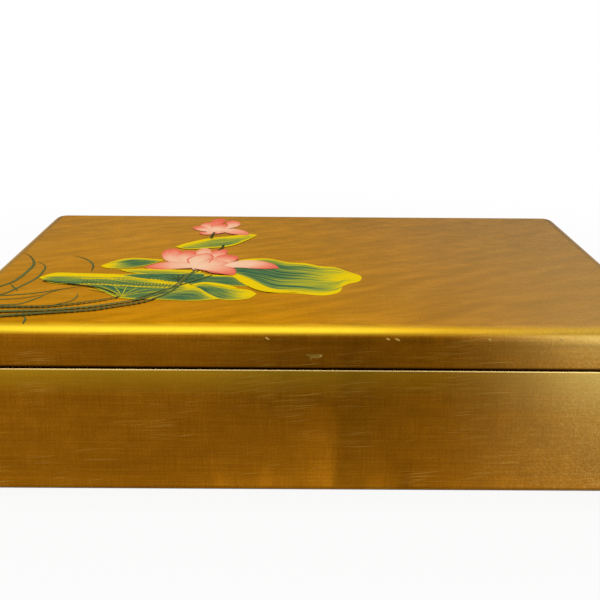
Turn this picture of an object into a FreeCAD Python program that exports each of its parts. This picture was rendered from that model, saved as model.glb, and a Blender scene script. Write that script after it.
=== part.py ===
"""Gilded lacquer box with a lift-off lid: a core of jointed boards under coats of lacquer.

Millimetres, +Z up, +X along the width, the front face towards -Y.
The origin is the centre of the underside, on the surface that the box stands on.
"""

import FreeCAD, Part
import math
import os

from FreeCAD import Vector

# Outer form
box_width = 300.0
box_depth = 200.0
body_height = 54.1  # from the underside to the seam
lid_height = 17.4  # from the seam to the top
corner_radius = 9.0  # upright corners, outside
lid_edge_radius = 7.0  # upper edge of the lid, outside
seam_gap = 0.7  # how far the lid's outer edge stands clear of the body, seen as the dark line of the seam
lid_bearing_inset = 2.0  # how far in from the outside the lid's rim bears on the body

# Lacquer coats
gilt_coat = 0.8  # ground, gold leaf and clear lacquer on the outside
inner_coat = 0.5  # plain lacquer in the tray, on the lip and inside the lid
underside_coat = 0.5  # plain lacquer that the box stands on
seam_arris_share = 1.1  # rounding of the two edges at the seam, of the gilt coat
lip_arris_share = 2.0  # rounding of the top of the lip, of the inner coat
foot_arris_share = 0.6  # bevel of the lowest edge, of the underside coat

# Boards of the core
wall_board = 8.0
bottom_board = 5.0
rebate_width = 4.0  # how far the bottom board reaches under the walls
liner_board = 4.0
lid_board = 6.0
wall_finger = 7.7  # about how high one finger of a corner joint of the body is
rail_finger = 3.0  # the same for the low rails of the lid

# Lip that the lid sits over
lip_headroom = 2.2  # from the coated lip up to the coated ceiling of the lid
lid_clearance = 0.6  # between the coated lip and the coated rails, on each side
lip_corner_radius = 3.0  # upright corner of the coated lip, outside
tray_corner_radius = 3.0  # upright corner of the coated tray, inside
cove_share = 0.6  # rounding of the floor's and the ceiling's edge, of the corner radius there

# Square bamboo pegs that pin the bottom board and the lid board
peg_width = 1.6
peg_set = 1.4  # how far a peg's end lies below the board's face
peg_bite_share = 0.7  # depth of a peg in a rail, of the rail's height
peg_spacing = 60.0  # pegs stand at most this far apart along a side

overrun = 1.0  # how far a cutting body runs past the face that it opens

# Heights of the lid, from the seam up
box_height = body_height + lid_height
rail_bottom = body_height + gilt_coat
lid_board_top = box_height - gilt_coat
lid_board_bottom = lid_board_top - lid_board
lid_ceiling = lid_board_bottom - inner_coat
rail_height = lid_board_bottom - rail_bottom

# Heights of the base, from the floor up
board_floor = underside_coat + bottom_board
tray_floor = board_floor + inner_coat
wall_top = body_height - gilt_coat
lip_top = lid_ceiling - lip_headroom
liner_top = lip_top - inner_coat

# Upright faces, as distances in from the outside of the box
wall_inset = gilt_coat + wall_board
rebate_inset = wall_inset - rebate_width
lip_inset = wall_inset - inner_coat
liner_inset = wall_inset + liner_board
tray_inset = liner_inset + inner_coat
lid_hollow_inset = lip_inset - lid_clearance
rail_inset = lid_hollow_inset - inner_coat

# Sizes that follow from the pieces beside them
rail_board = rail_inset - gilt_coat
seam_arris = gilt_coat * seam_arris_share
lip_arris = inner_coat * lip_arris_share
foot_arris = underside_coat * foot_arris_share
liner_radius = lip_corner_radius - inner_coat
lid_hollow_radius = lip_corner_radius + lid_clearance
peg_length = lid_board - peg_set + rail_height * peg_bite_share
bevel_share = 2 - math.sqrt(2)  # a bevel that touches a rounding's middle, of that rounding's radius

long_sides = ("front", "rear")
short_sides = ("left", "right")


def outer_radius(inset):
    """Corner radius of the box's outline moved inwards, down to a square corner."""
    return max(corner_radius - inset, 0)


def highest_face(shape):
    """The face whose middle lies highest."""
    return max(shape.Faces, key=lambda face: face.CenterOfMass.z)


def lowest_face(shape):
    """The face whose middle lies lowest."""
    return min(shape.Faces, key=lambda face: face.CenterOfMass.z)


def round_top(shape, radius):
    """The shape with every edge of its highest face rounded."""
    return shape.makeFillet(radius, highest_face(shape).Edges)


def round_bottom(shape, radius):
    """The shape with every edge of its lowest face rounded."""
    return shape.makeFillet(radius, lowest_face(shape).Edges)


def block(inset, radius, bottom, top):
    """Block between two heights, its sides inside the box's outline by inset, its corners round or square."""
    width = box_width - 2 * inset
    depth = box_depth - 2 * inset
    shape = Part.makeBox(width, depth, top - bottom, Vector(-width / 2, -depth / 2, bottom))
    if radius > 0:
        uprights = [edge for edge in shape.Edges if edge.BoundBox.ZLength > edge.BoundBox.DiagonalLength / 2]
        shape = shape.makeFillet(radius, uprights)
    return shape


def plain_board(side, thickness, bottom, top):
    """Square-ended board along one side of the core, as long as the core."""
    half_width = box_width / 2 - gilt_coat
    half_depth = box_depth / 2 - gilt_coat
    if side in long_sides:
        y = -half_depth if side == "front" else half_depth - thickness
        return Part.makeBox(2 * half_width, thickness, top - bottom, Vector(-half_width, y, bottom))
    x = -half_width if side == "left" else half_width - thickness
    return Part.makeBox(thickness, 2 * half_depth, top - bottom, Vector(x, -half_depth, bottom))


def finger_jointed_boards(core, thickness, bottom, top, finger):
    """Four boards whose ends interlock in equal cells, worked to the core's rounding outside.

    The number of cells is odd, and makes a cell about as high as finger.
    """
    cells = 2 * round((top - bottom) / finger / 2 - 1 / 2) + 1
    cell = (top - bottom) / cells
    boards = {}
    for side in long_sides + short_sides:
        board = plain_board(side, thickness, bottom, top).common(core)
        crossing = short_sides if side in long_sides else long_sides
        first_gap = 1 if side in long_sides else 0
        for other in crossing:
            for k in range(first_gap, cells, 2):
                gap = plain_board(other, thickness, bottom + k * cell, bottom + (k + 1) * cell)
                board = board.cut(gap)
        boards[side] = board
    return boards


def liner_frame():
    """Ring of the four liners, square in the walls' corners and rounded where it stands out as the lip."""
    seated = block(wall_inset, 0, board_floor, wall_top)
    lip = block(wall_inset, liner_radius, wall_top, liner_top)
    return seated.fuse(lip).cut(block(liner_inset, 0, board_floor, liner_top))


def mitred_liners():
    """The four liners, parted at the corners along 45 degrees."""
    out_x = box_width / 2 - wall_inset
    out_y = box_depth / 2 - wall_inset
    in_x = box_width / 2 - liner_inset
    in_y = box_depth / 2 - liner_inset
    outlines = {
        "front": ((-out_x, -out_y), (out_x, -out_y), (in_x, -in_y), (-in_x, -in_y)),
        "rear": ((out_x, out_y), (-out_x, out_y), (-in_x, in_y), (in_x, in_y)),
        "left": ((-out_x, out_y), (-out_x, -out_y), (-in_x, -in_y), (-in_x, in_y)),
        "right": ((out_x, -out_y), (out_x, out_y), (in_x, in_y), (in_x, -in_y)),
    }
    frame = liner_frame()
    liners = {}
    for side, outline in outlines.items():
        points = [Vector(x, y, board_floor) for x, y in outline]
        face = Part.Face(Part.makePolygon(points + points[:1]))
        liners[side] = face.extrude(Vector(0, 0, liner_top - board_floor)).common(frame)
    return liners


def peg_places(length):
    """Places that part a length into the fewest equal gaps within the pegs' spacing, from its middle."""
    gaps = math.ceil(length / peg_spacing)
    return [length * k / gaps - length / 2 for k in range(1, gaps)]


def pegs(inset, bottom):
    """Square pegs standing in even rows along the four sides, inside the box's outline by inset."""
    half_width = box_width / 2 - inset
    half_depth = box_depth / 2 - inset
    places = []
    for x in peg_places(2 * half_width):
        places += [(x, -half_depth), (x, half_depth)]
    for y in peg_places(2 * half_depth):
        places += [(-half_width, y), (half_width, y)]
    corners = [Vector(x - peg_width / 2, y - peg_width / 2, bottom) for x, y in places]
    return Part.makeCompound([Part.makeBox(peg_width, peg_width, peg_length, corner) for corner in corners])


def body_gilt_coat():
    """Gilded skin over the outside of the walls and over the rim, as far in as the lip."""
    skin = round_top(block(0, corner_radius, underside_coat, body_height), seam_arris)
    core = block(gilt_coat, outer_radius(gilt_coat), underside_coat - overrun, wall_top)
    mouth = block(wall_inset, liner_radius, wall_top, body_height + overrun)
    return skin.cut(core).cut(mouth)


def tray_lacquer_coat():
    """Lacquer over the floor, up the liners, over the lip and down outside it to the rim."""
    lip = block(lip_inset, lip_corner_radius, body_height, lip_top)
    lining = block(liner_inset, 0, board_floor, lip_top)
    cavity = block(tray_inset, tray_corner_radius, tray_floor, lip_top + overrun)
    cavity = round_bottom(cavity, tray_corner_radius * cove_share)
    coat = lip.fuse(lining).cut(liner_frame()).cut(cavity).removeSplitter()
    return round_top(coat, lip_arris)


def underside_lacquer_coat():
    """Plain lacquer under the whole box, with its lowest edge rubbed to a narrow bevel."""
    coat = block(0, corner_radius, 0, underside_coat)
    return coat.makeChamfer(foot_arris, lowest_face(coat).Edges)


def lid_core():
    """The lid's rails and board as one form, its upper edge bevelled so that the coat can round it."""
    core = block(gilt_coat, outer_radius(gilt_coat), rail_bottom, lid_board_top)
    return core.makeChamfer((lid_edge_radius - gilt_coat) * bevel_share, highest_face(core).Edges)


def lid_gilt_coat():
    """Gilded skin over the top and sides of the lid and under its rim, which bears on the body inside its edge."""
    skin = round_top(block(0, corner_radius, body_height + seam_gap, box_height), lid_edge_radius)
    skin = round_bottom(skin, seam_arris)
    bearing = block(lid_bearing_inset, outer_radius(lid_bearing_inset), body_height, body_height + seam_gap)
    mouth = block(rail_inset, 0, body_height - overrun, rail_bottom)
    return skin.fuse(bearing).cut(lid_core()).cut(mouth).removeSplitter()


def lid_inner_lacquer_coat():
    """Lacquer on the inside of the rails and under the lid board."""
    hollow = block(lid_hollow_inset, lid_hollow_radius, body_height - overrun, lid_ceiling)
    hollow = round_top(hollow, lid_hollow_radius * cove_share)
    return block(rail_inset, 0, body_height, lid_board_bottom).cut(hollow)


def base_pieces():
    """Every piece of the base by its node's name."""
    core = block(gilt_coat, outer_radius(gilt_coat), underside_coat, wall_top)
    bottom = block(rebate_inset, outer_radius(rebate_inset), underside_coat, board_floor)
    pins = pegs(wall_inset - rebate_width / 2, underside_coat + peg_set)
    pieces = {"bottom_board": bottom.cut(pins), "bottom_board_pegs": pins}
    walls = finger_jointed_boards(core, wall_board, underside_coat, wall_top, wall_finger)
    for side, wall in walls.items():
        pieces[side + "_wall"] = wall.cut(bottom).cut(pins)
    for side, liner in mitred_liners().items():
        pieces[side + "_liner"] = liner
    pieces["body_gilt_coat"] = body_gilt_coat()
    pieces["tray_lacquer_coat"] = tray_lacquer_coat()
    pieces["underside_lacquer_coat"] = underside_lacquer_coat()
    return pieces


def lid_pieces():
    """Every piece of the lid by its node's name."""
    core = lid_core()
    board = core.common(block(0, 0, lid_board_bottom, lid_board_top))
    pins = pegs(gilt_coat + rail_board / 2, lid_board_top - peg_set - peg_length)
    pieces = {"lid_top_board": board.cut(pins), "lid_board_pegs": pins}
    rails = finger_jointed_boards(core, rail_board, rail_bottom, lid_board_bottom, rail_finger)
    for side, rail in rails.items():
        pieces["lid_" + side + "_rail"] = rail.cut(pins)
    pieces["lid_gilt_coat"] = lid_gilt_coat()
    pieces["lid_inner_lacquer_coat"] = lid_inner_lacquer_coat()
    return pieces


def main():
    os.makedirs("parts", exist_ok=True)
    for node, shape in {**base_pieces(), **lid_pieces()}.items():
        shape.exportStep("parts/" + node + ".step")
        box = shape.BoundBox
        print(f"{node}: solids {len(shape.Solids)}, valid {shape.isValid()}, volume {shape.Volume:.1f} mm3,")
        print(f"  from {box.ZMin:.2f} to {box.ZMax:.2f} mm high")


main()
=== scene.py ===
import math

import bmesh
import bpy
import numpy as np
from mathutils import Matrix, Vector


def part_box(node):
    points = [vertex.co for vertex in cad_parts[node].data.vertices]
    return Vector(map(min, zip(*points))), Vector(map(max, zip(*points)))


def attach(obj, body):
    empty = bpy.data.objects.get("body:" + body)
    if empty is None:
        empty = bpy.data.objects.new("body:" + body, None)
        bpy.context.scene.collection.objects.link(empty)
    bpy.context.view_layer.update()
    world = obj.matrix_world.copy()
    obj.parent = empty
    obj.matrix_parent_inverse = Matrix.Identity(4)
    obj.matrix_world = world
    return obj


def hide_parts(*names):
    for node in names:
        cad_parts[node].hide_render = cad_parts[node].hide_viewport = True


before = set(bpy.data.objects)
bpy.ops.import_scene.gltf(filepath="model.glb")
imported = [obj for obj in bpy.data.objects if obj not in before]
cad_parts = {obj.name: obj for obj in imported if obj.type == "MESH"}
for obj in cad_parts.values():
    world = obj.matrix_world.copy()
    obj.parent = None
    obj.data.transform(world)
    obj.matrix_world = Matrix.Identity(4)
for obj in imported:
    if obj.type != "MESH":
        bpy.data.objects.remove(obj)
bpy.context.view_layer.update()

MM = 0.001

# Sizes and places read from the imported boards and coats
lid_low, lid_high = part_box("lid_gilt_coat")
body_low, body_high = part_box("body_gilt_coat")
tray_low, tray_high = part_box("tray_lacquer_coat")
lid_lining_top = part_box("lid_inner_lacquer_coat")[1].z
underside_low, underside_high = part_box("underside_lacquer_coat")
half_width, half_depth = lid_high.x, lid_high.y
seam_height, lid_top = lid_low.z, lid_high.z
lid_board_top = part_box("lid_top_board")[1].z
wall_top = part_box("front_wall")[1].z
rail_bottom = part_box("lid_front_rail")[0].z
liner_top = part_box("front_liner")[1].z
bottom_board_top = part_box("bottom_board")[1].z
gilt = lid_top - lid_board_top
wall_inset = half_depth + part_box("front_wall")[1].y
rail_inset = half_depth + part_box("lid_front_rail")[1].y
liner_inset = half_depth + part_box("front_liner")[1].y
lip_inset = half_depth + tray_low.y
lining_coat = wall_inset - lip_inset

# Roundings of the coats
corner_radius = 9 * MM
lid_edge_radius = 7.0 * MM
seam_arris = 0.88 * MM
seam_gap = 0.7 * MM
lid_bearing_inset = 2.0 * MM
lip_arris = 1.0 * MM
foot_arris = 0.3 * MM
lip_corner_radius = 3.0 * MM
tray_corner_radius = 3.0 * MM
lid_hollow_inset = rail_inset + lining_coat
lid_hollow_radius = 3.6 * MM
cove_share = 0.6
least_radius = 0.3 * MM

# Gilding: side of a sheet of leaf, width of a drawn scratch, and depths to which the body's rim is rubbed
leaf_sheet = 86 * MM
scratch_width = 0.3 * MM
rub_soft = 4 * MM
rub_end = 12 * MM

# Painting, in millimetres: thinnest film, and how high each kind of stroke starts above the lacquer
paint_film = 0.02
wear_lift = 0.02
leaf_lift, leaf_step = 0.04, 0.02
reed_lift = 0.06
petal_lift, petal_step = 0.10, 0.03
rim_lift = 0.22
vein_lift = 0.25
bead_lift = 0.27
stem_lift = 0.34
outline_lift = 0.5

# How finely the coats and the strokes are divided
path_steps = 24
arc_steps = 12
long_side_steps = 60
short_side_steps = 40
edge_support = 0.25 * MM


def linear(hex_colour):
    """Scene-linear red, green, blue and alpha of an sRGB hex colour."""
    srgb = np.array([int(hex_colour[i : i + 2], 16) for i in (1, 3, 5)]) / 255
    light = np.where(srgb <= 0.04045, srgb / 12.92, ((srgb + 0.055) / 1.055) ** 2.4)
    return (*light.tolist(), 1.0)


def add(tree, kind, inputs=(), output=0, stops=(), **settings):
    """Adds a node and gives one of its outputs, if it has any.

    Inputs are values or links, in the order of the node's sockets or by name or number. Stops are a ramp's
    colours, and settings the node's properties.
    """
    node = tree.nodes.new("ShaderNode" + kind)
    for name, value in settings.items():
        setattr(node, name, value)
    for key, value in inputs.items() if isinstance(inputs, dict) else enumerate(inputs):
        if isinstance(value, bpy.types.NodeSocket):
            tree.links.new(value, node.inputs[key])
        else:
            node.inputs[key].default_value = value
    for k, (place, colour) in enumerate(stops):
        ramp = node.color_ramp.elements
        stop = ramp[k] if k < len(ramp) else ramp.new(place)
        stop.position, stop.color = place, colour
    return node.outputs[output] if node.outputs else None


def new_material(name):
    """Empty node material and its tree."""
    material = bpy.data.materials.new(name)
    material.use_nodes = True
    material.node_tree.nodes.clear()
    return material, material.node_tree


def share_shown(tree):
    """Share that is 1 for what the eye, mirrors and clear things see, and 0 for scattered light."""
    rays = add(tree, "LightPath").node.outputs
    shown = rays["Is Camera Ray"]
    for kind in ("Is Glossy Ray", "Is Transmission Ray"):
        shown = add(tree, "Math", (shown, rays[kind]), operation="MAXIMUM")
    return shown


def mesh_piece(name, points, faces, uv, material, shares=None, sharp_angle=35):
    """Object from points, four-cornered faces, one UV per face corner and named shares per point."""
    mesh = bpy.data.meshes.new(name)
    mesh.from_pydata(points.reshape(-1, 3), [], faces)
    layer = mesh.uv_layers.new(name="leaf")
    layer.data.foreach_set("uv", uv.reshape(-1).astype(np.float32))
    for key, values in (shares or {}).items():
        attribute = mesh.attributes.new(key, "FLOAT", "POINT")
        attribute.data.foreach_set("value", values.reshape(-1).astype(np.float32))
    mesh.validate()
    mesh.shade_smooth()
    mesh.set_sharp_from_angle(angle=math.radians(sharp_angle))
    mesh.materials.append(material)
    piece = bpy.data.objects.new(name, mesh)
    bpy.context.scene.collection.objects.link(piece)
    return piece


def grid_faces(rows, columns, first=0, closed=(False, False)):
    """Faces of a grid of points numbered row by row, each as (row, next row, next row's next, next).

    Where the rows or the columns are closed, the last one is followed by the first.
    """
    places = np.arange(rows - 1 + closed[0]), np.arange(columns - 1 + closed[1])
    row, column = np.meshgrid(*places, indexing="ij")
    next_row, next_column = (row + 1) % rows, (column + 1) % columns
    corners = ((row, column), (next_row, column), (next_row, next_column), (row, next_column))
    return np.stack([first + i * columns + j for i, j in corners], -1).reshape(-1, 4)


def run_length(points):
    """Length of the way along points from the first up to each of them."""
    return np.cumsum(np.r_[0, np.linalg.norm(np.diff(points, axis=0), axis=1)])


def side_shares(steps):
    """One side of the outline: share of the way along its straight, and degrees turned from its own normal.

    The side runs from the middle of one corner's arc to the middle of the next: the turn is -45 to 45.
    """
    half = arc_steps // 2
    arriving, leaving = np.linspace(-45, 0, half + 1)[:-1], np.linspace(0, 45, half + 1)[:-1]
    turn = np.concatenate([arriving, np.zeros(steps), leaving])
    way = np.concatenate([np.zeros(half), np.linspace(0, 1, steps + 1)[:-1], np.ones(half)])
    return way, turn


def outline(inset, radius):
    """Points of a rounded rectangle inside the box's outline by inset, from the front left corner on.

    They run anticlockwise. Each is a place on the rectangle of the corner arcs' middles plus the radius
    along the outward turn.
    """
    inset, radius = np.atleast_1d(inset)[:, None], np.atleast_1d(radius)[:, None]
    reach_x, reach_y = half_width - inset - radius, half_depth - inset - radius
    xs, ys = [], []
    corners = ((-1, -1), (1, -1), (1, 1), (-1, 1))
    for side, steps in enumerate((long_side_steps, short_side_steps) * 2):
        way, turn = side_shares(steps)
        start, end = corners[side], corners[(side + 1) % 4]
        angle = np.radians(turn + 270 + 90 * side)
        xs.append(reach_x * (start[0] + way * (end[0] - start[0])) + radius * np.cos(angle))
        ys.append(reach_y * (start[1] + way * (end[1] - start[1])) + radius * np.sin(angle))
    return np.stack([np.concatenate(xs, 1), np.concatenate(ys, 1)], -1)


def arc(middle_inset, middle_height, radius, start, end, steps=8):
    """Rows of a profile along an arc: inset and height go round a middle from start to end degrees."""
    angle = np.radians(np.linspace(start, end, steps + 1))
    return np.stack([middle_inset + radius * np.cos(angle), middle_height + radius * np.sin(angle)], -1)


def round_rows(radius, inset, *stretches):
    """Rows of inset, corner radius and height: corners have the radius at one inset and tighten inwards."""
    flat = np.concatenate([np.atleast_2d(s) for s in stretches])
    return np.stack([flat[:, 0], np.maximum(radius - (flat[:, 0] - inset), least_radius), flat[:, 1]], -1)


def cap_points(ring, height):
    """Grid that fills a ring of outline points.

    A Coons patch: the two blends of opposite sides, less the blend of the four corners.
    """
    half = arc_steps // 2
    across, deep = long_side_steps + 2 * half, short_side_steps + 2 * half
    front, right = ring[: across + 1], ring[across : across + deep + 1]
    rear = ring[across + deep : 2 * across + deep + 1][::-1]
    left = np.concatenate([ring[2 * across + deep :], ring[:1]])[::-1]
    u, v = np.linspace(0, 1, across + 1)[None, :, None], np.linspace(0, 1, deep + 1)[:, None, None]
    blend = (1 - v) * front[None] + v * rear[None] + (1 - u) * left[:, None] + u * right[:, None]
    corners = (1 - u) * (1 - v) * front[0] + u * (1 - v) * front[-1]
    corners = corners + (1 - u) * v * rear[0] + u * v * rear[-1]
    plan = blend - corners
    return np.concatenate([plan, np.full(plan.shape[:2] + (1,), height)], -1)


def coat_piece(name, rows, material, capped=True, shares=None):
    """Coat of lacquer: a profile of rows carried round the outline, closed on itself or by two caps.

    Rows run so that the surface faces left of the way that they go: down an outside, up an inside.
    UV is metres: along the outline and along the profile on the walls, width and depth on the caps.
    Shares are values per row, such as how far an edge is rubbed or painted with a highlight, which the
    material reads by name.
    """
    ring = outline(rows[:, 0], rows[:, 1])
    count = ring.shape[1]
    walls = np.concatenate([ring, np.repeat(rows[:, 2][:, None, None], count, 1)], -1)
    faces = grid_faces(len(rows), count, closed=(not capped, True))
    outer = outline(0, corner_radius)[0]
    along = run_length(np.append(outer, outer[:1], 0))
    down = run_length(np.append(rows, rows[:1], 0)[:, [0, 2]])[: len(rows) + (not capped)]
    uv = np.stack(np.meshgrid(along, down), -1).reshape(-1, 2)[grid_faces(len(down), len(along))]
    points = walls.reshape(-1, 3)
    spread = {key: np.repeat(values, count) for key, values in (shares or {}).items()}
    if capped:
        for end, turned in ((0, False), (-1, True)):
            cap = cap_points(ring[end], rows[end, 2])
            new = grid_faces(*cap.shape[:2], first=len(points))
            new = new if turned else new[:, ::-1]
            flat = cap.reshape(-1, 3)
            points = np.concatenate([points, flat])
            spread = {key: np.concatenate([values, np.full(len(flat), shares[key][end])])
                      for key, values in spread.items()}
            faces = np.concatenate([faces, new])
            uv = np.concatenate([uv, points[new][..., :2]])
    piece = mesh_piece(name, points, faces.tolist(), uv, material, spread)
    merge_doubles(piece)
    return piece


def merge_doubles(piece):
    """Joins points that lie together, so that the surface is closed, and turns its faces outwards."""
    made = bmesh.new()
    made.from_mesh(piece.data)
    bmesh.ops.remove_doubles(made, verts=made.verts, dist=1e-7)
    bmesh.ops.recalc_face_normals(made, faces=made.faces)
    made.to_mesh(piece.data)
    made.free()


def smooth_path(points, count):
    """Evenly spaced points of a smooth curve through the given ones.

    The curve is made of cubic pieces, whose slope at a point follows from the points before and after it.
    """
    points = np.asarray(points, float)
    padded = np.concatenate([2 * points[:1] - points[1:2], points, 2 * points[-1:] - points[-2:-1]])
    way = np.linspace(0, len(points) - 1, path_steps * len(points))
    k = np.minimum(way.astype(int), len(points) - 2)
    s = (way - k)[:, None]
    a, b, c, d = padded[k], padded[k + 1], padded[k + 2], padded[k + 3]
    fine = b + 0.5 * s * (c - a + s * (2 * a - 5 * b + 4 * c - d + s * (3 * b - 3 * c + d - a)))
    length = run_length(fine)
    even = np.linspace(0, length[-1], count)
    return np.stack([np.interp(even, length, fine[:, 0]), np.interp(even, length, fine[:, 1])], -1)


def beside_line(line, half, u):
    """Grid of points beside a line: each lies u times the half width to its right, square to the line."""
    run = np.gradient(line, axis=0)
    run /= np.linalg.norm(run, axis=1, keepdims=True)
    left = np.stack([-run[:, 1], run[:, 0]], -1)
    return line[:, None] - left[:, None] * (half[:, None] * u)[..., None]


def lens_mesh(plan, height, u, v, tone):
    """Closed stroke from a grid of its top: the grid, a flat underside, and quads round each loop of both.

    Returns points, faces, one UV per face corner with U across and V along, and the tone of each point.
    """
    under = slice(-2, 0, -1)
    plan = np.concatenate([plan, plan[:, under]], 1)
    height = np.concatenate([height, np.full_like(height[:, under], height.min() - paint_film)], 1)
    tone = np.concatenate([tone, tone[:, under]], 1)
    loop_u = np.concatenate([u, u[under]])
    faces = grid_faces(*tone.shape, closed=(False, True))[:, [0, 3, 2, 1]]
    uv = np.stack(np.meshgrid(loop_u, v), -1)
    points = np.concatenate([plan, height[..., None]], -1)
    return points.reshape(-1, 3), faces, uv.reshape(-1, 2)[faces], tone.reshape(-1)


def painted_blade(path, width, lift, tones, crown=0.2, fullness=(0.6, 3.2, 0.8), edge=0.0, steps=40,
                  across=9):
    """Petal, reed or rim of raised paint: a domed section carried along a curve from its base to its tip.

    With v the way along, the half width is v to the power rise, times the power point of one less v to the
    power fall, scaled to the width. The tone runs from base over middle to tip, and rises towards the sides
    by the edge's share.
    """
    v, u = np.linspace(0, 1, steps + 1), np.linspace(-1, 1, across)
    line = smooth_path(path, steps + 1)
    rise, fall, point = fullness
    form = v**rise * np.maximum(1 - v**fall, 0) ** point
    half = width / 2 * form / form.max()
    plan = beside_line(line, half, u)
    height = lift + crown * np.sqrt(half / half.max())[:, None] * np.sqrt(np.maximum(1 - u**2, 0))
    tone = np.interp(v, (0, 0.5, 1), tones)[:, None] + edge * u**4
    return lens_mesh(plan, height, (u + 1) / 2, v, tone)


def petals(forms, edge):
    """Strokes of a flower from path, width, tones and fullness of each petal, one a step above the other."""
    return [painted_blade(path, width, petal_lift + petal_step * k, tones, fullness=form, edge=edge)
            for k, (path, width, tones, form) in enumerate(forms)]


def painted_leaf(upper, lower, rims, lift, ground=0.0, crown=0.12, steps=72, across=25):
    """Leaf of raised paint between two edges that start and end together.

    A point lies at a share u of the way from the lower edge to the upper one. The tone is 1 on a rim and
    falls off with the distance from it to the ground tone. Rims gives the reach in from the lower edge, from
    the upper edge and from the far end.
    """
    v, u = np.linspace(0, 1, steps + 1), np.linspace(0, 1, across)
    low, high = smooth_path(lower, steps + 1), smooth_path(upper, steps + 1)
    plan = low[:, None] + (high - low)[:, None] * u[None, :, None]
    width = np.linalg.norm(high - low, axis=1)[:, None]
    from_end = np.linalg.norm(plan - high[-1], axis=-1)
    away = np.stack([u * width / rims[0], (1 - u) * width / rims[1], from_end / rims[2]])
    tone = ground + (1 - ground) * np.exp(-(away**1.5)).max(0)
    height = lift + crown * np.sin(np.pi * u) * np.sin(np.pi * v)[:, None]
    return lens_mesh(plan, height, u, v, tone)


def painted_stem(path, thickness, lift, tone=0.5, prickle=0.0, pitch=2.4, roundness=0.35, steps=160,
                 across=7):
    """Stem, vein or row of beads: a flat half round carried along a curve, swelling at each prickle.

    The thickness is given at the start and at the end, and runs evenly between them. A prickle is the square
    of half a wave, one for each pitch. The height is the half width times the roundness.
    """
    v, u = np.linspace(0, 1, steps + 1), np.linspace(-1, 1, across)
    line = smooth_path(path, steps + 1)
    ends = np.sqrt(np.clip(np.minimum(v, 1 - v) * steps / 4, 0, 1))
    swelling = 1 + prickle * np.maximum(np.sin(2 * np.pi * run_length(line) / pitch), 0) ** 2
    half = np.interp(v, (0, 1), thickness) / 2 * ends * swelling
    plan = beside_line(line, half, u)
    height = lift + roundness * half[:, None] * np.sqrt(np.maximum(1 - u**2, 0))
    return lens_mesh(plan, height, (u + 1) / 2, v, np.full(height.shape, tone))


def on_lid_top(points):
    """Places of strokes given in millimetres from the middle of the lid's top, down its rounded edge too."""
    placed = points * MM
    over = np.abs(placed[:, :2]) - np.array([half_width, half_depth]) + lid_edge_radius
    over = np.minimum(np.linalg.norm(np.maximum(over, 0), axis=1), lid_edge_radius)
    placed[:, 2] += lid_top - lid_edge_radius + np.sqrt(lid_edge_radius**2 - over**2)
    return placed


def on_lid_front(points):
    """Places of strokes given in millimetres across the lid's front and up from the floor."""
    across, up, height = (points * MM).T
    return np.stack([across, -half_depth - height, up], -1)


def painting_piece(name, strokes, material, seat=on_lid_top):
    """One object on the lid from several strokes, whose points know their tone and their stroke's number."""
    counts = [len(points) for points, *_ in strokes]
    starts = np.cumsum([0] + counts[:-1])
    points = seat(np.concatenate([stroke[0] for stroke in strokes]))
    faces = np.concatenate([stroke[1] + start for stroke, start in zip(strokes, starts)])
    shares = {"tone": np.concatenate([stroke[3] for stroke in strokes]),
              "stroke": np.repeat(np.arange(len(strokes)), counts)}
    uv = np.concatenate([stroke[2] for stroke in strokes])
    piece = mesh_piece(name, points, faces.tolist(), uv, material, shares, sharp_angle=60)
    merge_doubles(piece)
    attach(piece, "lid")


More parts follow.
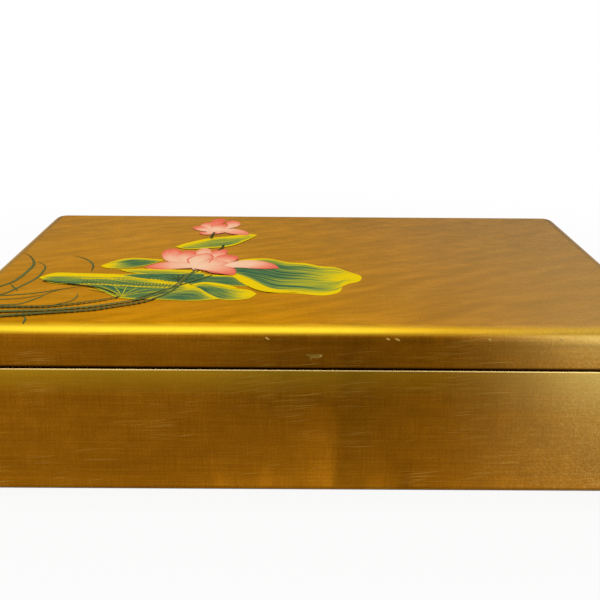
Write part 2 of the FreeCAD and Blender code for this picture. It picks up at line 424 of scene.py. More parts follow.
def gilded_lacquer():
    """Silver leaf under amber lacquer, rubbed down by hand.

    Gives the eye a deep brown gold, its top painted a lighter gold as painted light, with a bright yellow
    painted highlight, partly rubbed wear, along the lid's rounded edge that fades towards the far end. Sheets
    of leaf of slightly different tone are drawn out by polishing lines along the box and broken by a fine
    grain, and on the top by slanted smears. The body's rim is rubbed and worn pale, with a painted highlight
    on its arris, and painted shade darkens the lid's lower edge at the seam and the foot of its side. Fine
    scratches lie in two directions, most of them in clusters and round the grip at the seam. The far end is
    speckled and carries a painted glare, partly haze, and towards it and towards the back the top is painted
    paler as a painted sheen, under a film of clear lacquer that pales the top at a low angle.
    Lines, grain and scratches are drawn coarser than the real ones, which a pixel can't hold.
    """
    material, tree = new_material("gilded lacquer, silver leaf under amber varnish")
    uv = add(tree, "UVMap", uv_map="leaf")
    place = add(tree, "TexCoord", output="Object")
    where = add(tree, "SeparateXYZ", (place,)).node.outputs
    height = add(tree, "Math", (where["Z"], lid_top), operation="DIVIDE")
    edge_start = lid_top - lid_edge_radius

    def pattern(size, turn=0, detail=3):
        """Noise whose cells have the given size in metres, turned on the surface by some degrees."""
        turned = {"Vector": uv, "Scale": (*size, 1), "Rotation": (0, 0, math.radians(turn))}
        cell = add(tree, "Mapping", turned, vector_type="TEXTURE")
        return add(tree, "TexNoise", {"Vector": cell, "Scale": 1, "Detail": detail})

    def sums(*parts):
        """Sum of values, each times its own share, which is a number or another value."""
        total = 0.0
        for value, share in parts:
            total = add(tree, "Math", (value, share, total), operation="MULTIPLY_ADD")
        return total

    # Shares by height: painted shade at the foot of the lid's side, the painted glare of the far end, partly
    # haze, and painted shade on the lid's lower edge at the seam
    foot_shade_steps = (seam_height, 0), (seam_height + 1.5 * MM, 1.0), (edge_start, 0)
    glare_height_steps = ((0, 0.08), (35 * MM, 0.4), (seam_height, 1.0), (seam_height + 1.5 * MM, 0.25),
                  (edge_start, 0.6), (lid_top - 3 * MM, 1.0), (lid_top - 2 * MM, 0.3), (lid_top, 0.3))
    seam_shade_steps = ((seam_height, 0), (seam_height + 0.1 * MM, 0.8), (seam_height + 1.2 * MM, 0.8),
                    (seam_height + 1.8 * MM, 0))
    painted_foot_shade, rise, painted_seam_shade = (
        add(tree, "ValToRGB", (height,),
            stops=[(z / lid_top, (share, share, share, 1)) for z, share in steps])
        for steps in (foot_shade_steps, glare_height_steps, seam_shade_steps))

    # Shares by place, given by where they start and end and their values there: the top, the front and the
    # back, then what changes softly towards the far end: the fade of the painted highlight, the spread of the
    # speckle and the painted glare, and that of the pale painted sheen and the clear coat
    on_top = add(tree, "MapRange", (where["Z"], lid_top - 0.7 * MM, lid_top - 0.1 * MM, 0.0, 1.0))
    front = add(tree, "MapRange", (where["Y"], 5 * MM - half_depth, 40 * MM - half_depth, 1.0, 0.3))
    back = add(tree, "MapRange", (where["Y"], -half_depth, half_depth, 0.0, 0.2))
    fade, end, far_end = (
        add(tree, "MapRange", (where["X"], *ends), interpolation_type="SMOOTHSTEP")
        for ends in ((0.0, 70 * MM, 1.0, 0.4), (45 * MM, half_width, 0.0, 0.75),
                     (-30 * MM, half_width, 0.0, 0.6)))

    # Tone of the leaf: clouds, polishing lines, grain, sheets, smears on the top and painted shade at the
    # foot of the lid's side
    polish = pattern((45 * MM, 0.7 * MM))
    mottle = pattern((9 * MM, 6 * MM), detail=5)
    smear = sums((pattern((40 * MM, 8 * MM), 28), 1.4), (pattern((18 * MM, 4 * MM), 20), 0.6), (1.0, -1.02))
    sheets = add(tree, "TexBrick", {
        "Vector": uv, "Color1": linear("#000000"), "Color2": linear("#FFFFFF"), "Mortar": linear("#808080"),
        "Scale": 1, "Mortar Size": 0.25 * MM, "Mortar Smooth": 0.6, "Bias": 0, "Brick Width": leaf_sheet,
        "Row Height": leaf_sheet}, offset=0.37)
    tone = sums((mottle, 0.25), (pattern((70 * MM, 40 * MM), detail=2), 0.35), (polish, 0.4),
                (pattern((0.8 * MM, 0.5 * MM), detail=2), 0.45),
                (pattern((0.5 * MM, 14 * MM), detail=2), 0.3),
                (sheets, 0.12), (sums((smear, on_top)), 1.0), (painted_foot_shade, -0.08), (1.0, -0.1))
    colour = add(tree, "ValToRGB", (tone,), stops=(
        (0.55, linear("#693E04")), (0.80, linear("#7E4D07")), (1.0, linear("#905C0E"))))
    # The top painted a lighter gold than the sides: painted light from above
    layers = [(sums((on_top, 0.3)), "#8C5E0E")]

    # Scratches
    grip = add(tree, "Mapping", {"Vector": place, "Location": (-12 * MM, 0, seam_height - 8 * MM),
                                 "Scale": (55 * MM, 1.0, 13 * MM)}, vector_type="TEXTURE")
    grip = add(tree, "VectorMath", (grip,), output="Value", operation="LENGTH")
    grip = add(tree, "MapRange", (grip, 0.4, 1.3, 1.0, 0.0))
    cluster = sums((pattern((40 * MM, 22 * MM), detail=1), 0.35), (grip, 0.05))
    for length, slant, full, share in ((22 * MM, -7, 0.95, 0.42), (26 * MM, -2, 0.97, 0.4)):
        scratch = sums((pattern((length, scratch_width), slant, detail=1), 1.0), (cluster, 1.0))
        layers.append((add(tree, "MapRange", (scratch, 0.87, full, 0.0, share)), "#C09848"))

    # Rubbed edges with a painted highlight along the lid's rounded edge, fading towards the far end, then the
    # speckle of the far end, its painted glare, partly haze, and a pale painted sheen on the top
    rub_and_highlight = add(tree, "Attribute", output="Fac", attribute_name="rub_and_highlight")
    layers.append((sums((rub_and_highlight, fade)), "#B4951F"))
    for size, slant in (((1.3 * MM, 0.8 * MM), 0), ((2.5 * MM, 0.8 * MM), 35), ((0.7 * MM, 2.2 * MM), 0)):
        speckle = add(tree, "MapRange", (pattern(size, slant), 0.5, 0.8, 0.0, 0.35))
        layers.append((sums((speckle, end)), "#BEA45C"))
    # Painted glare towards the far end, partly haze, strongest at the heights that rise gives, and stronger
    # at the front
    haze_and_painted_glare = sums((sums((end, rise)), front))
    # Pale painted sheen on the top towards the far end and the back, which also sets where the clear coat
    # lies
    coat_and_painted_sheen = sums((sums((far_end, 1.0), (back, 1.0)), on_top))
    layers += [(haze_and_painted_glare, "#9A8C50"), (sums((coat_and_painted_sheen, 0.4)), "#96744C")]

    # Painted shade on the lid's lower edge at the seam, and the body's rim arris, worn pale and painted with
    # a highlight
    wear_and_highlight = add(tree, "Attribute", output="Fac", attribute_name="wear_and_highlight")
    layers += [(painted_seam_shade, "#2A1606"), (wear_and_highlight, "#CCB274")]

    for share, over in layers:
        colour = add(tree, "Mix", {0: share, 6: colour, 7: linear(over)}, output=2, data_type="RGBA")
    rough = add(tree, "MapRange", (mottle, 0.3, 0.7, 0.22, 0.30))
    relief = add(tree, "Bump", {"Height": polish, "Strength": 0.12, "Distance": 0.05 * MM})
    tangent = add(tree, "Tangent", direction_type="UV_MAP", uv_map="leaf")
    shader = add(tree, "BsdfPrincipled", {
        "Base Color": colour, "Metallic": 1.0, "Roughness": rough, "Normal": relief,
        "Specular Tint": linear("#FFE0B0"), "Anisotropic": 0.75, "Anisotropic Rotation": 0.25,
        "Tangent": tangent, "Coat Weight": sums((coat_and_painted_sheen, 0.3)), "Coat Roughness": 0.3})
    add(tree, "OutputMaterial", {"Surface": shader})
    return material


def plain_lacquer(name, deep, pale, roughness):
    """Brushed and polished lacquer without leaf: one deep colour with faint clouds under a soft gloss."""
    material, tree = new_material(name)
    place = add(tree, "TexCoord", output="Object")
    clouds = add(tree, "TexNoise", {"Vector": place, "Scale": 1 / (14 * MM), "Detail": 4})
    colour = add(tree, "ValToRGB", (clouds,), stops=((0.3, linear(deep)), (0.7, linear(pale))))
    rough = add(tree, "MapRange", (clouds, 0.3, 0.7, roughness, roughness + 0.08))
    ripple = add(tree, "TexNoise", {"Vector": place, "Scale": 1 / (5 * MM), "Detail": 2})
    relief = add(tree, "Bump", {"Height": ripple, "Strength": 0.1, "Distance": 0.1 * MM})
    shader = add(tree, "BsdfPrincipled", {
        "Base Color": colour, "Roughness": rough, "Normal": relief, "IOR": 1.53, "Coat Weight": 0.6,
        "Coat Roughness": 0.12})
    add(tree, "OutputMaterial", {"Surface": shader})
    return material


def split_grain(name, early, late, ring_width):
    """Planed wood or split bamboo: pale early wood and darker late wood in lines along the grain."""
    material, tree = new_material(name)
    place = add(tree, "TexCoord", output="Object")
    cell = add(tree, "Mapping", {"Vector": place, "Scale": (60 * MM, ring_width, ring_width)},
               vector_type="TEXTURE")
    rings = add(tree, "TexNoise", {"Vector": cell, "Scale": 1, "Detail": 4, "Distortion": 0.4})
    colour = add(tree, "ValToRGB", (rings,), stops=((0.35, linear(early)), (0.65, linear(late))))
    relief = add(tree, "Bump", {"Height": rings, "Strength": 0.2, "Distance": 0.1 * MM})
    shader = add(tree, "BsdfPrincipled", {"Base Color": colour, "Roughness": 0.62, "Normal": relief})
    add(tree, "OutputMaterial", {"Surface": shader})
    return material


def paint(name, stops, hairs, draw=0.5):
    """Lacquer paint laid on by brush: colours that follow the stroke's tone, drawn out in hairs' marks.

    hairs is how many marks lie across a stroke, and draw how far they pull the tone. The film is matt.
    """
    material, tree = new_material(name)
    uv = add(tree, "SeparateXYZ", (add(tree, "UVMap", uv_map="leaf"),)).node.outputs
    across = add(tree, "Math", (uv["X"], hairs), operation="MULTIPLY")
    along = add(tree, "Math", (uv["Y"], 3.0), operation="MULTIPLY")
    stroke = add(tree, "Attribute", output="Fac", attribute_name="stroke")
    cell = add(tree, "CombineXYZ", (across, along, stroke))
    marks = add(tree, "TexNoise", {"Vector": cell, "Scale": 1, "Detail": 3})
    tone = add(tree, "Attribute", output="Fac", attribute_name="tone")
    drawn = add(tree, "Math", (marks, draw, -draw / 2), operation="MULTIPLY_ADD")
    drawn = add(tree, "Math", (tone, drawn), operation="ADD")
    colour = add(tree, "ValToRGB", (drawn,), stops=stops)
    relief = add(tree, "Bump", {"Height": marks, "Strength": 0.2, "Distance": 0.05 * MM})
    shader = add(tree, "BsdfPrincipled", {
        "Base Color": colour, "Roughness": 0.5, "Specular IOR Level": 0.0, "Normal": relief})
    add(tree, "OutputMaterial", {"Surface": shader})
    return material


# Materials
gold = gilded_lacquer()
red_lacquer = plain_lacquer("deep red lacquer, brushed and polished", "#4A0D0A", "#651712", 0.22)
black_lacquer = plain_lacquer("black lacquer, rubbed matt", "#0C0A09", "#1A1614", 0.38)
pine = split_grain("planed pine boards", "#C79F6B", "#9C6F42", 2.2 * MM)
bamboo = split_grain("split bamboo pegs", "#D4BE86", "#A98F55", 0.6 * MM)
petal_paint = paint("coral and cream lacquer paint", (
    (0.05, linear("#FDD2AC")), (0.35, linear("#FCBE9A")),
    (0.65, linear("#F79676")), (0.95, linear("#F06E58"))), 16)
leaf_paint = paint("green and yellow lacquer paint", (
    (0.0, linear("#335F4A")), (0.25, linear("#608148")),
    (0.5, linear("#AEAE34")), (0.75, linear("#F4D010"))), 34, 1.7)
stem_paint = paint("dark green lacquer paint", ((0.1, linear("#33361E")), (0.9, linear("#747A44"))), 4)
bare_ground = paint("pale ground bared where leaf has chipped", (
    (0.0, linear("#86661E")), (0.5, linear("#BC9444")), (1.0, linear("#F0CC78"))), 3)

# Coats of lacquer
lid_profile = round_rows(
    corner_radius, 0,
    (lid_edge_radius + edge_support, lid_top),
    arc(lid_edge_radius, lid_top - lid_edge_radius, lid_edge_radius, 90, 180, 14),
    (0, lid_top - lid_edge_radius - edge_support),
    (0, seam_height + seam_gap + seam_arris + edge_support),
    arc(seam_arris, seam_height + seam_gap + seam_arris, seam_arris, 180, 270, 6),
    (lid_bearing_inset, seam_height + seam_gap),
    (lid_bearing_inset, seam_height),
    (rail_inset, seam_height),
    (rail_inset, rail_bottom),
    (gilt, rail_bottom),
    (gilt, lid_top - lid_edge_radius),
    (lid_edge_radius, lid_board_top),
)
lid_turn = np.degrees(np.arctan2(lid_edge_radius - lid_profile[:, 0],
                                 lid_profile[:, 2] - lid_top + lid_edge_radius))
lid_outside = lid_profile[:, 2] + lid_profile[:, 0] > lid_top - lid_edge_radius + gilt
# Share on the lid's rounded edge: a painted highlight band at the turns that meet the overhead light, partly
# rubbed wear
lid_rub_and_highlight = np.where(lid_outside, np.interp(lid_turn, (0, 35, 44, 58), (0, 1, 1, 0)), 0.0)
lid_gilding = coat_piece("lid_gilding", lid_profile, gold, shares={"rub_and_highlight": lid_rub_and_highlight, "wear_and_highlight": 0 * lid_rub_and_highlight})
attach(lid_gilding, "lid")
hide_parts("lid_gilt_coat")

body_profile = round_rows(
    corner_radius, 0,
    (wall_inset, body_high.z),
    arc(seam_arris, body_high.z - seam_arris, seam_arris, 90, 180, 6),
    (0, body_high.z - seam_arris - edge_support),
    (0, body_high.z - rub_soft),
    (0, body_high.z - rub_end),
    (0, body_low.z + edge_support),
    (0, body_low.z),
    (gilt, body_low.z),
    (gilt, wall_top),
    (wall_inset, wall_top),
)
rim_turn = np.degrees(np.arctan2(seam_arris - body_profile[:, 0],
                                 body_profile[:, 2] - body_high.z + seam_arris))
# Share on the body's rim arris: pale wear and a painted highlight
body_rim_wear_and_highlight = np.interp(rim_turn, (15, 30, 50, 75), (0, 0.9, 0.9, 0))
body_rim_wear_and_highlight = np.where(body_profile[:, 0] < seam_arris, body_rim_wear_and_highlight, 0.0)
body_rub = np.interp(body_high.z - body_profile[:, 2], (seam_arris, rub_soft, rub_end), (0.35, 0.22, 0))
body_rub = np.where(body_profile[:, 0] < gilt, body_rub, 0.0)
body_shares = {"rub_and_highlight": body_rub, "wear_and_highlight": body_rim_wear_and_highlight}
body_gilding = coat_piece("body_gilding", body_profile, gold, capped=False, shares=body_shares)
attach(body_gilding, "base")
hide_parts("body_gilt_coat")

tray_inset = liner_inset + lining_coat
tray_floor = bottom_board_top + lining_coat
lip_top = tray_high.z
tray_cove = tray_corner_radius * cove_share
tray_profile = np.concatenate([
    round_rows(tray_corner_radius, tray_inset,
               (tray_inset + tray_cove + edge_support, tray_floor),
               arc(tray_inset + tray_cove, tray_floor + tray_cove, tray_cove, 270, 180),
               (tray_inset, tray_floor + tray_cove + edge_support),
               (tray_inset, lip_top - lip_arris - edge_support),
               arc(tray_inset - lip_arris, lip_top - lip_arris, lip_arris, 0, 90)),
    round_rows(lip_corner_radius, lip_inset,
               arc(lip_inset + lip_arris, lip_top - lip_arris, lip_arris, 90, 180),
               (lip_inset, lip_top - lip_arris - edge_support),
               (lip_inset, seam_height),
               (wall_inset, seam_height),
               (wall_inset, liner_top)),
    round_rows(least_radius, liner_inset, (liner_inset, liner_top), (liner_inset, bottom_board_top)),
])
tray_lacquer = coat_piece("tray_lacquer", tray_profile, red_lacquer)
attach(tray_lacquer, "base")
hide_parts("tray_lacquer_coat")

lid_ceiling = lid_lining_top - lining_coat
hollow_cove = lid_hollow_radius * cove_share
lid_lining_profile = np.concatenate([
    round_rows(least_radius, rail_inset, (rail_inset, lid_lining_top), (rail_inset, seam_height)),
    round_rows(lid_hollow_radius, lid_hollow_inset,
               (lid_hollow_inset, seam_height),
               (lid_hollow_inset, lid_ceiling - hollow_cove - edge_support),
               arc(lid_hollow_inset + hollow_cove, lid_ceiling - hollow_cove, hollow_cove, 180, 90),
               (lid_hollow_inset + hollow_cove + edge_support, lid_ceiling)),
])
lid_lining = coat_piece("lid_lining", lid_lining_profile, red_lacquer)
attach(lid_lining, "lid")
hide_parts("lid_inner_lacquer_coat")

underside_profile = round_rows(
    corner_radius, 0,
    (foot_arris, underside_high.z),
    (0, underside_high.z),
    (0, underside_low.z + foot_arris),
    (foot_arris, underside_low.z),
)
underside_lacquer = coat_piece("underside_lacquer", underside_profile, black_lacquer)
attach(underside_lacquer, "base")
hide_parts("underside_lacquer_coat")

# Boards and pegs under the coats
for node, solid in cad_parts.items():
    if not node.endswith("_coat"):
        solid.data.materials.clear()
        solid.data.materials.append(bamboo if node.endswith("_pegs") else pine)

# Lotus spray painted on the lid, in millimetres from the middle of its top, the strokes behind first
petal_tones, coral_tones, cream_tones = (0.05, 0.35, 1.05), (0.45, 0.8, 1.0), (0.0, 0.15, 0.6)
round_petal, long_petal = (0.55, 5.0, 0.55), (0.7, 2.0, 0.9)
flower_petals = (
    (((-57, -9), (-66, -1), (-69, 19.5)), 10, petal_tones, round_petal),
    (((-46, -8), (-45, 6), (-43, 19)), 8.5, petal_tones, round_petal),
    (((-51, -8), (-52, 6), (-52, 20.5)), 8, cream_tones, round_petal),
    (((-56, -9), (-61, 2), (-58.5, 15.5)), 9, petal_tones, round_petal),
    (((-46, -13), (-42, -4), (-38, 7.5)), 13, petal_tones, round_petal),
    (((-52, -14), (-64, -12), (-78, -16)), 13, petal_tones, long_petal),
    (((-41, -14), (-28, -9), (-13, -15.5)), 14, (0.0, 0.2, 1.05), long_petal),
    (((-54, -19), (-48, -11), (-41, -3)), 14, cream_tones, round_petal),
    (((-54, -14), (-54, -2), (-50, 9)), 11, cream_tones, round_petal),
    (((-53, -16), (-44, -17), (-33.5, -26)), 13, (0.0, 0.45, 0.95), long_petal),
)
flower_strokes = petals(flower_petals, 0.3)
petal_outlines = (
    ((-57, -9), (-58.5, -2), (-55.5, 4.5), (-50, 9), (-46.5, 3), (-47.5, -8)),
    ((-54, -17.5), (-45, -23), (-36, -28), (-33, -25.5)),
)
flower_strokes += [painted_stem(path, (0.6, 0.6), outline_lift, tone=1.1) for path in petal_outlines]
painting_piece("lotus_flower", flower_strokes, petal_paint)

small_petals = (
    (((-50, 60), (-56, 68), (-54.5, 78)), 7, petal_tones, round_petal),
    (((-47, 62), (-41, 71), (-43, 83)), 8, petal_tones, round_petal),
    (((-50, 60), (-51, 74), (-48.8, 87)), 8, coral_tones, round_petal),
    (((-49, 57), (-56, 60), (-61.5, 68)), 8.5, petal_tones, round_petal),
    (((-49, 57), (-54, 52), (-58.5, 54)), 7, petal_tones, long_petal),
    (((-48, 56), (-49, 64), (-47, 73)), 9, petal_tones, round_petal),
    (((-49, 66), (-50, 58), (-48, 51)), 10, cream_tones, round_petal),
    (((-50, 60), (-42, 58), (-31, 48.5)), 10.5, (0.1, 0.45, 0.8), long_petal),
)
painting_piece("lotus_small_flower", petals(small_petals, 0.25), petal_paint)

# Leaves: upper edge, lower edge, reach of the yellow in from the lower edge, the upper edge and the end, and
# tone of the ground
leaf_forms = (
    (((-40, -18), (-35, -5), (-30, 0.5), (-19, 2), (-9, -4.5), (-0.5, -6), (7, -11), (14, -13), (20, -20),
      (25, -26), (26, -30)),
     ((-40, -18), (-34, -28), (-27, -37), (-22, -46), (-15, -53.5), (-4.5, -54.5), (6.5, -57), (13, -54),
      (15.5, -49), (16, -44), (19, -40), (24, -36), (26, -30)), (7, 4, 24), 0.08),
    (((-58, -25), (-42, -27), (-33, -28), (-28, -36), (-23, -45)),
     ((-58, -25), (-50, -40), (-40, -42), (-30, -44), (-23, -45)), (0.6, 3, 0.6), 0.15),
    (((-52, -44), (-48, -38.5), (-38, -42), (-31, -47.5), (-25.5, -50), (-22, -55.5)),
     ((-52, -44), (-46, -54), (-39, -62), (-33, -64.5), (-25.5, -62), (-22, -55.5)), (1.5, 5, 12), 0.1),
    (((-72, -63), (-60, -49), (-49, -46), (-44, -54), (-38, -63)),
     ((-72, -63), (-58, -65), (-48, -65.5), (-38, -63)), (0.8, 5, 3), 0.2),
    (((-70, -2), (-82, 1), (-89, 0.5), (-95, -5), (-99.5, -13.5)),
     ((-70, -2), (-77.5, -12), (-86, -17), (-95, -17), (-99.5, -13.5)), (0.8, 3, 10), 0.15),
    (((-89, -28), (-78, -25), (-64, -23), (-48, -24)),
     ((-89, -28), (-76, -35), (-62, -41), (-48, -42)), (0.6, 1.5, 0.6), 0.12),
    (((-124, -33), (-118, -25.5), (-105, -26), (-89, -27), (-76, -31), (-58, -38), (-50, -46)),
     ((-124, -33), (-116, -41.5), (-102.5, -44), (-94, -49), (-82, -62), (-68, -62), (-50, -46)),
     (0.8, 7, 4), 0.2),
    (((-90, -19), (-74.5, -17.5), (-62, -19), (-50, -21)),
     ((-90, -19), (-83, -24), (-70, -27), (-50, -24)), (0.8, 4, 0.8), 0.3),
    (((-68, 22.5), (-63, 30.5), (-52, 41), (-41, 46), (-32, 51), (-26, 49)),
     ((-68, 22.5), (-61, 18.5), (-52, 20), (-39.5, 25), (-31.5, 37), (-26, 49)), (1.5, 5, 5), 0.36),
)
leaf_strokes = [painted_leaf(upper, lower, rims, leaf_lift + leaf_step * k, ground)
                for k, (upper, lower, rims, ground) in enumerate(leaf_forms)]
folded_rims = (
    (((-37, -24), (-31, -31), (-25, -41), (-17, -50), (-4, -53)), 6.5, (1.0, 1.0, 0.9)),
    (((-53, -45), (-47, -40.5), (-38, -43.5), (-30, -49)), 3.5, (0.8, 1.0, 0.9)),
    (((-122, -31), (-112, -28.5), (-98, -29.5), (-84, -32)), 5.5, (0.9, 1.0, 0.8)),
    (((-64, 25), (-55, 30), (-46, 30), (-38, 38), (-29, 46)), 3, (0.7, 0.9, 0.8)),
)
leaf_strokes += [painted_blade(path, width, rim_lift, tones, crown=0.08, fullness=(0.5, 2.4, 0.8))
                 for path, width, tones in folded_rims]
fan_foot = np.array((-80.5, -61))
fan_tips = np.array(((-97, -50), (-91, -48), (-86, -47.5), (-81, -47.5), (-76, -48), (-71, -50), (-66, -53)))
leaf_strokes += [painted_stem((fan_foot, 0.5 * (fan_foot + tip) + (0, 1), tip), (0.6, 0.6), vein_lift,
                              tone=0.55)
                 for tip in fan_tips]
bead_rows = (
    ((-104, -35), (-92, -35), (-81, -35.5), (-70, -36), (-60, -41)),
    ((-103, -43.5), (-93, -43.5), (-82, -45.5), (-70, -47), (-60, -47.5)),
)
leaf_strokes += [painted_stem(path, (0.7, 0.7), bead_lift, tone=0.95, prickle=1.6, pitch=2.0, steps=260)
                 for path in bead_rows]
painting_piece("lotus_leaves", leaf_strokes, leaf_paint)

# Stems: path, thickness at both ends, and tone
stem_paths = (
    (((-52.5, -18), (-55, -28), (-59, -50), (-65, -62), (-72, -69), (-82, -74.5), (-91, -79),
      (-108.5, -83), (-125, -87), (-147, -91.5)), (0.7, 1.9), 0.65),
    (((-50, -20), (-55.5, -28), (-59.5, -44), (-66, -58), (-73, -65), (-82.5, -70.5), (-92, -75),
      (-109.5, -79.5), (-127, -81.5), (-148, -85)), (0.7, 1.9), 0.85),
    (((-81, -59.5), (-84, -63), (-96.5, -70), (-110.5, -74.5), (-129, -75.5), (-148, -77)),
     (0.8, 1.9), 0.55),
    (((-44, -28), (-53, -39), (-64, -52), (-75, -66)), (0.7, 1.0), 0.5),
    (((-121.5, -37.5), (-114, -41), (-105, -43.5), (-95, -47.5), (-88, -52.5), (-83.5, -58.5)),
     (0.7, 0.7), 0.2),
    (((-50.5, 40), (-51, 46), (-50, 54)), (1.1, 1.1), 0.3),
    (((-45, 16), (-43.5, 20), (-43, 27)), (1.1, 1.1), 0.3),
)
stem_strokes = [painted_stem(path, thickness, stem_lift, tone, prickle=0.5)
                for path, thickness, tone in stem_paths]
hatch_feet = np.linspace((-102, -36.5), (-62, -41.5), 27)
stem_strokes += [painted_blade((foot, foot + (0.2, -2.6), foot + (-0.3, -5.4)), 0.55, vein_lift,
                               (0.3, 0.5, 0.6), crown=0.05, steps=8)
                 for foot in hatch_feet]
tuft_foot = np.array((-58, -38))
tuft_tips = np.array(((-66, -31), (-63.5, -28), (-60.5, -26.5), (-57.5, -26), (-54, -28), (-50, -31)))
stem_strokes += [painted_blade((tuft_foot, 0.5 * (tuft_foot + tip), tip), 0.9, vein_lift, (0.2, 0.3, 0.5),
                               crown=0.05, steps=16)
                 for tip in tuft_tips]
painting_piece("lotus_stems", stem_strokes, stem_paint)

# Reeds: path and width
reed_paths = (
    (((-148, -64), (-137.5, -46.5), (-133.5, -38), (-132, -22.5), (-132.5, -10), (-137.5, 2.5),
      (-143, 10)), 1.7),
    (((-147, -69), (-134, -59), (-129, -48), (-125, -34.5), (-124.5, -24.5), (-126, -14),
      (-132, -5.5)), 1.4),
    (((-148, -63.5), (-133.5, -60), (-124.5, -58), (-116, -54.5), (-108, -49.5), (-100, -45.5)), 1.2),
    (((-148, -76), (-129.5, -72.5), (-122, -71), (-116.5, -63), (-113, -55), (-108, -49.5)), 1.1),
    (((-148, -70), (-136, -66), (-124, -63.5), (-115, -58.5)), 1.0),
    (((-107, -72), (-101.5, -67), (-100, -62), (-100.5, -56)), 0.9),
    (((-128, -53), (-131, -48), (-134.5, -42.5)), 0.9),
    (((-102, -22), (-103, -13), (-106, -5.5), (-111, 1), (-117, 5)), 1.1),
    (((-113.5, -95), (-114, -90), (-116, -86)), 1.0),
)
reed_strokes = [painted_blade(path, width, reed_lift, (0.4, 0.75, 0.5), crown=0.1,
                              fullness=(0.3, 3.0, 0.9), steps=64)
                for path, width in reed_paths]
painting_piece("water_reeds", reed_strokes, stem_paint)

# Chips on the lid's rounded front edge, in millimetres on its plan
chip_paths = (
    ((-17, -99.2), (-16, -99.4), (-15.2, -99.6)), ((31, -99.3), (32, -99.4), (32.7, -99.5)),
    ((34.4, -99.25), (35.6, -99.45), (36.5, -99.6)), ((71.5, -99.2), (72.2, -99.4), (72.8, -99.5)),
    ((100, -99.25), (100.8, -99.4), (101.4, -99.5)),
)
chip_strokes = [painted_blade(path, 0.3, wear_lift, (0.5, 0.8, 0.6), crown=0.04, fullness=(0.3, 3.0, 0.5),
                              steps=16)
                for path in chip_paths]
painting_piece("chipped_leaf", chip_strokes, bare_ground)

# Worn patch on the lid's side, in millimetres across and up: path, width and tone
worn_paths = (
    (((-0.8, 60.6), (2, 60.5), (5.6, 60.8)), 0.9, 0.1),
    (((0.8, 59.9), (3, 59.8), (5.7, 60)), 1.2, 0.2),
    (((0.9, 59.3), (1.4, 58.8), (1.2, 58.2)), 0.6, 0.15),
    (((4.7, 60.2), (5.2, 60.4), (5.8, 60.3)), 0.9, 0.65),
)
worn_strokes = [painted_blade(path, width, wear_lift, (tone, tone, tone), crown=0.03,
                              fullness=(0.15, 6.0, 0.3), steps=24)
                for path, width, tone in worn_paths]
painting_piece("worn_leaf", worn_strokes, bare_ground, on_lid_front)


def floor_material():
    """Matt white paper sweep: pale all over, and shown as plain white to the eye and to glossy surfaces.

    Near the box a tenth of the lit paper is mixed in, so that the box's soft shadow shows.
    """
    material, tree = new_material("matt white paper sweep")
    place = add(tree, "TexCoord", output="Object")
    away = add(tree, "VectorMath", (place,), output="Value", operation="LENGTH")
    level = add(tree, "MapRange", (away, 0.25, 0.6, 0.9, 1.0), interpolation_type="SMOOTHSTEP")
    fibre = add(tree, "TexNoise", {"Vector": place, "Scale": 1 / (3 * MM)})
    tint = add(tree, "MapRange", (fibre, 0.0, 1.0, 0.88, 0.92))
    grey = add(tree, "CombineColor", (tint, tint, tint))
    paper = add(tree, "BsdfDiffuse", {"Color": grey})
    white = add(tree, "Emission", {"Color": (1, 1, 1, 1), "Strength": 1.0})
    share = add(tree, "Math", (share_shown(tree), level), operation="MULTIPLY")
    shader = add(tree, "MixShader", (share, paper, white))
    add(tree, "OutputMaterial", {"Surface": shader})
    return material


def flat_sheet(name, reach, height, material):
    """Level square that reaches as far to all four sides, seen from above."""
    corners = ((-1, -1), (1, -1), (1, 1), (-1, 1))
    mesh = bpy.data.meshes.new(name)
    mesh.from_pydata([(x * reach, y * reach, height) for x, y in corners], [], [(0, 1, 2, 3)])
    mesh.materials.append(material)
    sheet = bpy.data.objects.new(name, mesh)
    bpy.context.scene.collection.objects.link(sheet)


def softbox(name, place, size, radiance, turn=0):
    """Rectangular area light that faces down, turned in plan by some degrees, with an even radiance."""
    lamp = bpy.data.lights.new(name, "AREA")
    lamp.shape, lamp.size, lamp.size_y = "RECTANGLE", size[0], size[1]
    lamp.energy = radiance * math.pi * size[0] * size[1]
    holder = bpy.data.objects.new(name, lamp)
    holder.location = place
    holder.rotation_euler = (0, 0, math.radians(turn))
    bpy.context.scene.collection.objects.link(holder)


def graded_card(name, points, level):
    """Card that only glossy surfaces see, with its own strength of light at each point of its grid."""
    material, tree = new_material("graded grey card")
    strength = add(tree, "Attribute", output="Fac", attribute_name="level")
    shader = add(tree, "Emission", {"Color": (1, 1, 1, 1), "Strength": strength})
    add(tree, "OutputMaterial", {"Surface": shader})
    faces = grid_faces(*level.shape)
    uv = np.zeros((len(faces), 4, 2))
    card = mesh_piece(name, points, faces.tolist(), uv, material, {"level": level})
    for rays in ("camera", "diffuse", "shadow", "transmission"):
        setattr(card, "visible_" + rays, False)


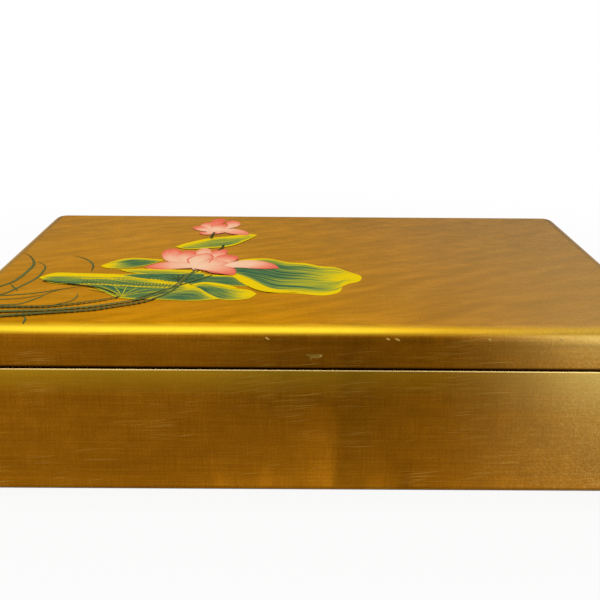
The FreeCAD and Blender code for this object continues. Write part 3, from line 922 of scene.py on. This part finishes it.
def front_card():
    """Grey card in front of the box, darker in its middle than at its ends.

    A fan that widens with its way from the box: level first, then curving up along a quarter ellipse, then
    upright. Near the box the level follows the column of the front that mirrors it to the camera.
    """
    bend_start, bend_reach, bend_rise, card_top = 0.75, 0.5, 0.9, 2.4
    across = np.linspace(-0.7, 0.7, 281)[None]
    turn = np.radians(np.linspace(0, 90, 13))[1:]
    level_way = np.concatenate([np.linspace(0.001, 0.15, 30), np.linspace(0.2, bend_start, 10)])
    upper = np.linspace(bend_rise, card_top, 9)[1:]
    way = np.concatenate([level_way, bend_start + bend_reach * np.sin(turn),
                          np.full(len(upper), bend_start + bend_reach)])[:, None]
    height = np.concatenate([0 * level_way, bend_rise * (1 - np.cos(turn)), upper])[:, None] + 1 * MM
    x = across * (0.3 + way)
    far = np.interp(across, (-0.35, -0.29, -0.14, -0.07, 0, 0.08, 0.15, 0.22, 0.29, 0.36),
                    (1.1, 1.0, 0.92, 0.68, 0.56, 0.48, 0.6, 0.62, 0.95, 1.75))
    column = (x - camera_place.x) / (1 + way / (-half_depth - camera_place.y)) + camera_place.x
    near = np.interp(column, (-0.12, -0.05, -0.003, 0.008, 0.010, 0.0125, 0.03, 0.05, 0.12),
                     (1.0, 1.05, 1.15, 1.45, 1.45, 0.82, 0.92, 1.05, 1.4))
    glints = ((-0.036, 0.003, 0.4), (-0.017, 0.003, 0.35), (0.029, 0.004, 0.3), (0.0415, 0.003, -0.3))
    for centre, spread, gain in glints:
        near = near + gain * np.exp(-(((column - centre) / spread) ** 2) - (way / 0.015) ** 2)
    near = near * (1 + 0.3 * np.exp(-((way / 0.012) ** 2)))
    share = np.clip((way - 0.03) / 0.08, 0, 1)
    level = near + share**2 * (3 - 2 * share) * (far - near)
    band = np.clip((column - 0.01) / 0.03, 0, 1) + np.clip((column - 0.06) / 0.05, 0, 1)
    level = level + 0.35 * band * np.exp(-(((way - 0.108) / 0.018) ** 2))
    rises = (0, 0.15, 0.65, 1.0, 1.6, 2.4)
    left = np.interp(height, rises, (1.0, 1.1, 1.25, 1.6, 1.9, 2.0))
    middle = np.interp(height, rises, (0.55, 0.5, 0.5, 0.55, 1.1, 1.4))
    right = np.interp(height, rises, (2.0, 4.0, 4.2, 4.0, 3.4, 2.4))
    to_left, to_right = np.clip((-across - 0.05) / 0.2, 0, 1), np.clip((across - 0.2) / 0.22, 0, 1) ** 1.5
    raised = middle + to_left * (left - middle) + to_right * (right - middle)
    level = level + np.clip(height / 0.15, 0, 1) * (raised - level)
    y, z = np.broadcast_to(-half_depth - way, x.shape), np.broadcast_to(height, x.shape)
    points = np.stack([x, y, z], -1)
    graded_card("front_card", points, level)


def rear_card():
    """Upright grey card behind the box: lighter to the left, at half its height and low at both ends."""
    x, z = np.meshgrid(np.linspace(-1.6, 1.6, 65), np.linspace(0, 1.3, 27))
    sideways_level = np.interp(x, (-1.2, -0.55, -0.4, -0.2, 0, 0.2, 0.4, 0.6, 1.2),
                               (1.0, 1.9, 2.05, 2.15, 1.9, 1.65, 1.4, 1.25, 1.0))
    level = sideways_level * np.interp(z, (0, 0.3, 0.4, 0.5, 0.56, 0.6, 0.9, 1.3),
                                       (0.1, 0.13, 0.31, 0.85, 1.22, 1.4, 1.1, 0.8))
    level = level + 0.4 * np.clip((np.abs(x) - 0.4) / 0.25, 0, 1) * np.clip((0.42 - z) / 0.12, 0, 1)
    graded_card("rear_card", np.stack([x, np.full_like(x, 1.2), z], -1), level)


# Stage
floor_reach = 6.0
camera_place = Vector((-4.6, -436.4, 195.3)) * MM
flat_sheet("paper_floor", floor_reach, underside_low.z, floor_material())

scene = bpy.context.scene
scene.view_settings.view_transform = "Standard"
world = bpy.data.worlds.new("white studio")
world.use_nodes = True
world.node_tree.nodes.clear()
sky = world.node_tree
sky_level = add(sky, "MapRange", (share_shown(sky), 0.0, 1.0, 0.36, 1.0))
backdrop = add(sky, "Background", {"Color": (1, 1, 1, 1), "Strength": sky_level})
add(sky, "OutputWorld", {"Surface": backdrop})
scene.world = world

softbox("overhead_softbox", (-0.10, -0.16, 1.0), (0.80, 0.68), 1.95, 12)
softbox("overhead_canopy", (0, 0.28, 1.0), (1.20, 1.12), 1.0)
front_card()
rear_card()

# Camera, from the vanishing lines and edges of the photograph, which is 600 pixels square
picture = 600
focal_pixels = 909.8
pitch, yaw, roll = math.radians(18.36), math.radians(0.24), math.radians(-0.44)
forward = Vector((math.sin(yaw) * math.cos(pitch), math.cos(yaw) * math.cos(pitch), -math.sin(pitch)))
level_right = Vector((math.cos(yaw), -math.sin(yaw), 0))
level_down = forward.cross(level_right)
right = math.cos(roll) * level_right + math.sin(roll) * level_down
down = -math.sin(roll) * level_right + math.cos(roll) * level_down
camera_data = bpy.data.cameras.new("photograph_view")
camera_data.sensor_width = 36
camera_data.lens = camera_data.sensor_width * focal_pixels / picture
camera_data.clip_start = 0.01
camera = bpy.data.objects.new("photograph_view", camera_data)
camera_turn = Matrix((right, -down, -forward)).transposed().to_4x4()
camera.matrix_world = Matrix.Translation(camera_place) @ camera_turn
scene.collection.objects.link(camera)
scene.camera = camera
